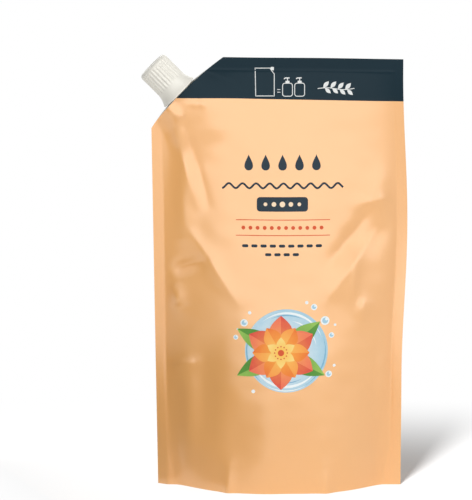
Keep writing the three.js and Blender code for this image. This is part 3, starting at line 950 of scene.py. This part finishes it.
def dense(outline, step):
    """The outline with points added so that none is further than step from the next."""
    points = []
    for here, after in zip(outline, outline[1:] + outline[:1]):
        count = max(1, math.ceil(math.dist(here, after) / step))
        points += [
            (mix(here[0], after[0], i / count), mix(here[1], after[1], i / count)) for i in range(count)
        ]
    return points


def inside(outline, x, z):
    """Whether a point lies inside an outline."""
    crossings = 0
    for (x0, z0), (x1, z1) in zip(outline, outline[1:] + outline[:1]):
        if (z0 > z) != (z1 > z) and x < mix(x0, x1, (z - z0) / (z1 - z0)):
            crossings += 1
    return crossings % 2 == 1


def print_layer(name, outlines, colour, level=0, holes=()):
    """A closed ink layer inside the outlines and outside the holes. A higher level lies over a lower."""
    coords, edges = [], []
    for outline in (*outlines, *holes):
        outline = dense(outline, INK_CELL)
        start, count = len(coords), len(outline)
        coords += [Vector(p) for p in outline]
        edges += [(start + i, start + (i + 1) % count) for i in range(count)]
    low = np.min(coords, axis=0)
    high = np.max(coords, axis=0)
    for x in np.arange(low[0] + INK_CELL / 2, high[0], INK_CELL):
        coords += [Vector((x, z)) for z in np.arange(low[1] + INK_CELL / 2, high[1], INK_CELL)]
    points, _, faces, *_ = delaunay_2d_cdt(coords, edges, [], 1, 1e-4)
    if holes:
        middles = [sum((points[i] for i in face), Vector((0, 0))) / 3 for face in faces]
        faces = [f for f, m in zip(faces, middles) if not any(inside(h, m.x, m.y) for h in holes)]
    used = sorted({corner for face in faces for corner in face})
    number = {corner: i for i, corner in enumerate(used)}
    faces = [[number[corner] for corner in face] for face in faces]
    lift = INK_LIFT + INK_LEVEL * level
    top = [on_film(points[i].x, points[i].y, lift) for i in used]
    under = [on_film(points[i].x, points[i].y, -INK_SINK) for i in used]
    count = len(used)
    solid = [tuple(face) for face in faces] + [tuple(count + c for c in reversed(face)) for face in faces]
    border = {}
    for face in faces:
        for a, b in zip(face, face[1:] + face[:1]):
            border[(a, b)] = (b, a) not in border
            if (b, a) in border:
                border[(a, b)] = border[(b, a)] = False
    solid += [(b, a, count + a, count + b) for (a, b), edge in border.items() if edge]
    piece = add_mesh(name, top + under, solid, [INKS[colour]])
    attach(piece, "pack")


# Each ink's two tones, and the reach in millimetres over which the first turns into the other
INK_TONES = {
    "slate": ("#263641", "#1f2e38"),
    "cream": ("#fbe3c4", "#f8dcb8"),
    "white": ("#e9ebe9", "#dfe2e1"),
    "vermilion": ("#dc5b34", "#d35430"),
    "coral": ("#f5a04e", "#dc4a44", 20),
    "rose": ("#f9b45c", "#ee6f5a", 20),
    "orange": ("#fbb24a", "#ee7a34", 15),
    "amber": ("#fdc964", "#f79a48", 15),
    "yellow": ("#fbc04c", "#fde08c", 9),
    "leaf": ("#2f6a35", "#5f9c3f", 27),
    "light_leaf": ("#4f8c3c", "#98c45c", 27),
    "pale_blue": ("#eef6f8", "#a4cde0", 26),
    "blue": ("#8dbfd8", "#74adcc"),
    "foam_white": ("#f4f9fa", "#eaf3f5"),
}
INKS = {ink: gravure_ink(f"gravure_ink_{ink}", *tones) for ink, tones in INK_TONES.items()}


def print_header():
    """White line drawings: the pouch and the two bottles that it fills, and a sprig."""
    line = 0.42
    body = dense([(-13.4, 215.6), (-2.9, 215.6), (-2.9, 227.6), (-5.4, 231), (-13.7, 231)], 1)
    shapes = [body, rounded_box(-5.1, 229.6, -3.3, 231.4, 0.3)]
    holes = [drawn_in(body, line)]
    for middle in (4.1, 10.7):
        bottle = rounded_box(middle - 2.9, 215.4, middle + 2.9, 222.8, 1.5)
        shapes.append(bottle)
        holes.append(drawn_in(bottle, line))
        shapes.append(rounded_box(middle - 1.1, 222.5, middle + 1.1, 223.9, 0.3))
        shapes.append(ribbon([(middle, 223.7), (middle, 225.2)], 0.5))
        shapes.append(ribbon([(middle - 1.9, 224.9), (middle - 1.2, 225.4), (middle + 1.1, 225.4)], 0.6))
    for height in (217.8, 219.2):
        shapes.append(ribbon([(-1.5, height), (0.2, height)], 0.35))
    print_layer("print_header_drawing", shapes, "white", holes=holes)
    stem = [(20.5 + step, 219.6 + 0.5 * math.sin(step / 3)) for step in range(0, 21)]
    sprig = [ribbon(stem, 0.4)]
    for step in range(3, 19, 4):
        x, z = stem[step]
        sprig.append(leaf(x, z + 0.1, 4.6, 2.2, 48))
        sprig.append(leaf(x + 1, z - 0.1, 4.2, 2.0, -42))
    print_layer("print_header_sprig", sprig, "white")


def print_title():
    """A row of drops, a rippled line and a badge of bubbles."""
    drops = [drop(1.4 + 9.2 * place, 180.2, 8.6) for place in range(-2, 3)]
    print_layer("print_drops", drops, "slate")
    wave = [(x, 167.6 + 1.3 * math.sin(2 * math.pi * x / 7.4)) for x in np.arange(-31.5, 34.6, 0.35)]
    print_layer("print_ripple", [ribbon(wave, 1.1)], "slate")
    print_layer("print_badge", [rounded_box(-12.6, 153.8, 15.2, 161.6, 1.8)], "slate")
    bubbles = [circle(1.3 + 4.6 * place, 157.7, 1.5 - 0.25 * abs(place)) for place in range(-2, 3)]
    print_layer("print_badge_bubbles", bubbles, "cream", level=1)


def print_rules():
    """Two thin rules with a row of dots between them, and two dashed lines below."""
    rules = [ribbon([(-24, height), (27.2, height)], 0.42) for height in (149.3, 141)]
    print_layer("print_rules", rules, "vermilion")
    dots = [circle(-19.9 + 3.86 * place, 145.1, 1.05, 20) for place in range(12)]
    print_layer("print_rule_dots", dots, "vermilion")
    dashes = [rounded_box(-20.6 + 5 * i, 134.6, -17.2 + 5 * i, 136.2, 0.7, 3) for i in range(9)]
    dashes += [rounded_box(-8.1 + 5 * i, 130, -4.7 + 5 * i, 131.6, 0.7, 3) for i in range(4)]
    print_layer("print_dashes", dashes, "slate")


def print_blossom():
    """An open blossom on a rippled pool with leaves and bubbles round it."""
    x, z = BLOSSOM
    pool = (x + 3, z + 1)
    print_layer("print_pool", [circle(*pool, 22.5, 72)], "pale_blue")
    arcs = ((21.6, 150, 232, 0.8), (21.2, -62, 20, 0.8), (19.2, 62, 118, 0.7), (17.2, 236, 300, 0.7))
    print_layer("print_pool_ripples", [bent_line(*pool, *shape) for shape in arcs], "blue", level=1)
    arcs = ((20.4, 20, 130, 1.2), (19.4, 200, 330, 1.5), (16.4, 10, 80, 0.9), (21.6, 236, 300, 0.6))
    print_layer("print_pool_waves", [bent_line(*pool, *shape) for shape in arcs], "foam_white", level=2)
    large = [(24, 17, 2.4), (27.5, 9, 1.5), (18, 24.5, 1.7), (-20, 16, 2), (-24.5, 8, 1.3), (26, -12, 1.8)]
    small = [(29.5, 14.5, 0.7), (14, 27, 0.9), (-23.5, 12.4, 0.6), (-17, 21.5, 0.9)]
    small += [(29, -7.5, 0.8), (-15, -21, 1)]
    bubbles = [circle(x + bx, z + bz, r) for bx, bz, r in large + small]
    print_layer("print_bubbles", bubbles, "foam_white", level=1)
    shades = [circle(x + bx, z + bz, 0.66 * r) for bx, bz, r in large]
    print_layer("print_bubble_shades", shades, "pale_blue", level=2)
    glints = [circle(x + bx + 0.3 * r, z + bz + 0.3 * r, 0.3 * r) for bx, bz, r in large]
    print_layer("print_bubble_glints", glints, "foam_white", level=3)
    leaves = [leaf(x, z, 27, 10.5, angle) for angle in (38, 152, -28, -152)]
    print_layer("print_leaves", leaves, "leaf", level=3)
    print_layer("print_leaf_light", [lit_half(outline) for outline in leaves], "light_leaf", level=4)
    outer = [leaf(x, z, 20, 12.5, 30 + 60 * place, fullness=1.25) for place in range(6)]
    print_layer("print_petals_outer", outer, "coral", level=5)
    print_layer("print_petals_outer_light", [lit_half(outline) for outline in outer], "rose", level=6)
    inner = [leaf(x, z, 15.5, 9.6, 60 * place, fullness=1.25) for place in range(6)]
    print_layer("print_petals_inner", inner, "orange", level=7)
    print_layer("print_petals_inner_light", [lit_half(outline) for outline in inner], "amber", level=8)
    heart = [leaf(x, z, 8.5, 5, 30 + 60 * place) for place in range(6)]
    print_layer("print_petals_heart", heart, "yellow", level=9)
    turns = np.arange(12) * math.pi / 6
    stamens = [circle(x, z, 1.7)]
    stamens += [circle(x + 3.4 * math.cos(t), z + 3.4 * math.sin(t), 0.4, 12) for t in turns]
    print_layer("print_stamens", stamens, "vermilion", level=10)


print_header()
print_title()
print_rules()
print_blossom()


# Studio


def seen_directly(material):
    """1 for the camera, a reflection or a look through, 0 for soft light."""
    path = add_node(material, "ShaderNodeLightPath").outputs
    seen = path["Is Camera Ray"]
    for kind in ("Is Glossy Ray", "Is Transmission Ray"):
        either = add_node(material, "ShaderNodeMath", {"operation": "ADD"}, {0: seen, 1: path[kind]})
        seen = either.outputs["Value"]
    return seen


def studio_floor():
    """Matt white vinyl: it holds the pouch's shadow near it and fades by its glow into the white surround."""
    material = cleared(bpy.data.materials.new("matt_white_vinyl"))
    look = {"Base Color": srgb("#bdbdbd"), "Specular IOR Level": 0.0}
    vinyl = add_node(material, "ShaderNodeBsdfPrincipled", inputs=look).outputs["BSDF"]
    glows = []
    for strength in (0.18, 1.0):
        inputs = {"Color": (1, 1, 1, 1), "Strength": strength}
        glows.append(add_node(material, "ShaderNodeEmission", inputs=inputs).outputs["Emission"])
    faint, white = glows
    lit = add_node(material, "ShaderNodeAddShader", inputs={0: vinyl, 1: faint}).outputs["Shader"]
    place = add_node(material, "ShaderNodeTexCoord").outputs["Object"]
    squeeze = {0: place, 1: (0.6, 1, 1)}
    oval = add_node(material, "ShaderNodeVectorMath", {"operation": "MULTIPLY"}, squeeze).outputs["Vector"]
    reach = add_node(material, "ShaderNodeVectorMath", {"operation": "LENGTH"}, {0: oval}).outputs["Value"]
    span = {"Value": reach, "From Min": 0.054, "From Max": 0.265}
    fade = add_node(material, "ShaderNodeMapRange", {"interpolation_type": "SMOOTHSTEP"}, span)
    ways = {0: fade.outputs["Result"], 1: lit, 2: white}
    shown = add_node(material, "ShaderNodeMixShader", inputs=ways).outputs["Shader"]
    ways = {0: seen_directly(material), 1: lit, 2: shown}
    mixed = add_node(material, "ShaderNodeMixShader", inputs=ways).outputs["Shader"]
    add_node(material, "ShaderNodeOutputMaterial", inputs={"Surface": mixed})
    far = 4 / MM
    points = [(x * far, y * far, -0.05) for x, y in ((-1, -1), (1, -1), (1, 1), (-1, 1))]
    floor = add_mesh("studio_floor", points, [(0, 1, 2, 3)], [material])
    return floor


def studio_world():
    """White surround to the eye and in reflections, and a softer one as light."""
    world = cleared(bpy.data.worlds.new("studio"))
    span = {"Value": seen_directly(world), "To Min": 0.41, "To Max": 1.0}
    strength = add_node(world, "ShaderNodeMapRange", inputs=span).outputs["Result"]
    white = {"Color": (1, 1, 1, 1), "Strength": strength}
    background = add_node(world, "ShaderNodeBackground", inputs=white)
    add_node(world, "ShaderNodeOutputWorld", inputs={"Surface": background.outputs["Background"]})
    bpy.context.scene.world = world


def aimed(data, azimuth, elevation, distance, lit):
    """A light aimed at the pouch, azimuth to the right of the camera, lighting only the pieces in lit."""
    turn, up = math.radians(azimuth), math.radians(elevation)
    way = Vector((math.sin(turn) * math.cos(up), -math.cos(turn) * math.cos(up), math.sin(up)))
    light = bpy.data.objects.new(data.name, data)
    light.location = Vector((0, 0, 0.12)) + way * distance
    light.rotation_euler = (-way).to_track_quat("-Z", "Y").to_euler()
    light.light_linking.receiver_collection = bpy.data.collections.new(data.name)
    for piece in lit:
        light.light_linking.receiver_collection.objects.link(piece)
    bpy.context.scene.collection.objects.link(light)
    return light


def softbox(name, azimuth, elevation, distance, width, height, watts, lit):
    """A rectangular softbox, its distance and size in metres."""
    data = bpy.data.lights.new(name, "AREA")
    data.shape = "RECTANGLE"
    data.size = width
    data.size_y = height
    data.energy = watts
    return aimed(data, azimuth, elevation, distance, lit)


def floor_light(floor, pieces):
    """A broad even light from the front left on the floor alone, where only the pouch casts a shadow."""
    data = bpy.data.lights.new("floor_light", "SUN")
    data.energy = 6.4
    data.angle = math.radians(8)
    light = aimed(data, -15.5, 40, 2, [floor])
    light.light_linking.blocker_collection = bpy.data.collections.new("floor_shadow")
    for piece in pieces:
        light.light_linking.blocker_collection.objects.link(piece)


def black_flock():
    """Flocked card: it gives back next to no light, so it shades the film and darkens its glints."""
    material = cleared(bpy.data.materials.new("black_flock_card"))
    look = {"Base Color": srgb("#101010"), "Roughness": 0.9}
    shader = add_node(material, "ShaderNodeBsdfPrincipled", inputs=look)
    add_node(material, "ShaderNodeOutputMaterial", inputs={"Surface": shader.outputs["BSDF"]})
    return material


BLACK_FLOCK = black_flock()


def black_card(name, corners):
    """A black card out of the camera's sight."""
    card = add_mesh(name, corners, [tuple(range(len(corners)))], [BLACK_FLOCK])
    card.visible_camera = False
    return card


def shade_card(name, azimuth, distance, half_width, height):
    """A card that stands at the left and keeps the pouch's left side in shade."""
    turn = Matrix.Rotation(math.radians(azimuth), 4, "Z")
    ends = ((-1, 0), (1, 0), (1, height), (-1, height))
    black_card(name, [turn @ Vector((side * half_width, -distance, up)) / MM for side, up in ends])


def floor_card():
    """A card that lies on the floor at the left and that only reflections show."""
    corners = ((-220, -200, 0.3), (-38, -200, 0.3), (-38, -29, 0.3), (-75, 0, 0.3), (-220, 20, 0.3))
    card = black_card("floor_card", corners)
    card.visible_diffuse = False
    card.visible_shadow = False


def studio_camera():
    """A long lens a little above the pouch, straight on to its front."""
    elevation = math.radians(8.3)
    distance = 2.0
    middle = Vector((-0.0239, 0, 0.1308))
    data = bpy.data.cameras.new("camera")
    data.sensor_fit = "VERTICAL"
    data.sensor_height = 36
    data.lens = 263
    camera = bpy.data.objects.new("camera", data)
    camera.location = middle + Vector((0, -math.cos(elevation), math.sin(elevation))) * distance
    camera.rotation_euler = (math.pi / 2 - elevation, 0, 0)
    bpy.context.scene.collection.objects.link(camera)
    bpy.context.scene.camera = camera


pieces = [piece for piece in bpy.context.scene.objects if piece.type == "MESH"]
floor = studio_floor()
studio_world()
softbox("front_softbox", -2, 10, 2.4, 4.4, 1.3, 18.8, pieces).visible_glossy = False
softbox("side_softbox", 80, 24, 1.6, 1.6, 0.9, 2.5, pieces)
softbox("gloss_softbox", 22, 24, 1.6, 4.2, 1.5, 40, pieces).visible_diffuse = False
softbox("top_softbox", -42, 40, 1.6, 0.8, 0.8, 4.5, [piece for piece in pieces if piece != cap])
softbox("cap_softbox", 25, 60, 1.4, 0.6, 0.6, 7.5, [cap])
softbox("back_softbox", 172, 20, 2.4, 3.2, 1.3, 16, pieces)
floor_light(floor, pieces)
shade_card("far_shade_card", -75, 0.6, 0.35, 0.22)
shade_card("near_shade_card", -70, 0.13, 0.12, 0.06)
floor_card()
studio_camera()
bpy.context.scene.view_settings.view_transform = "Standard"
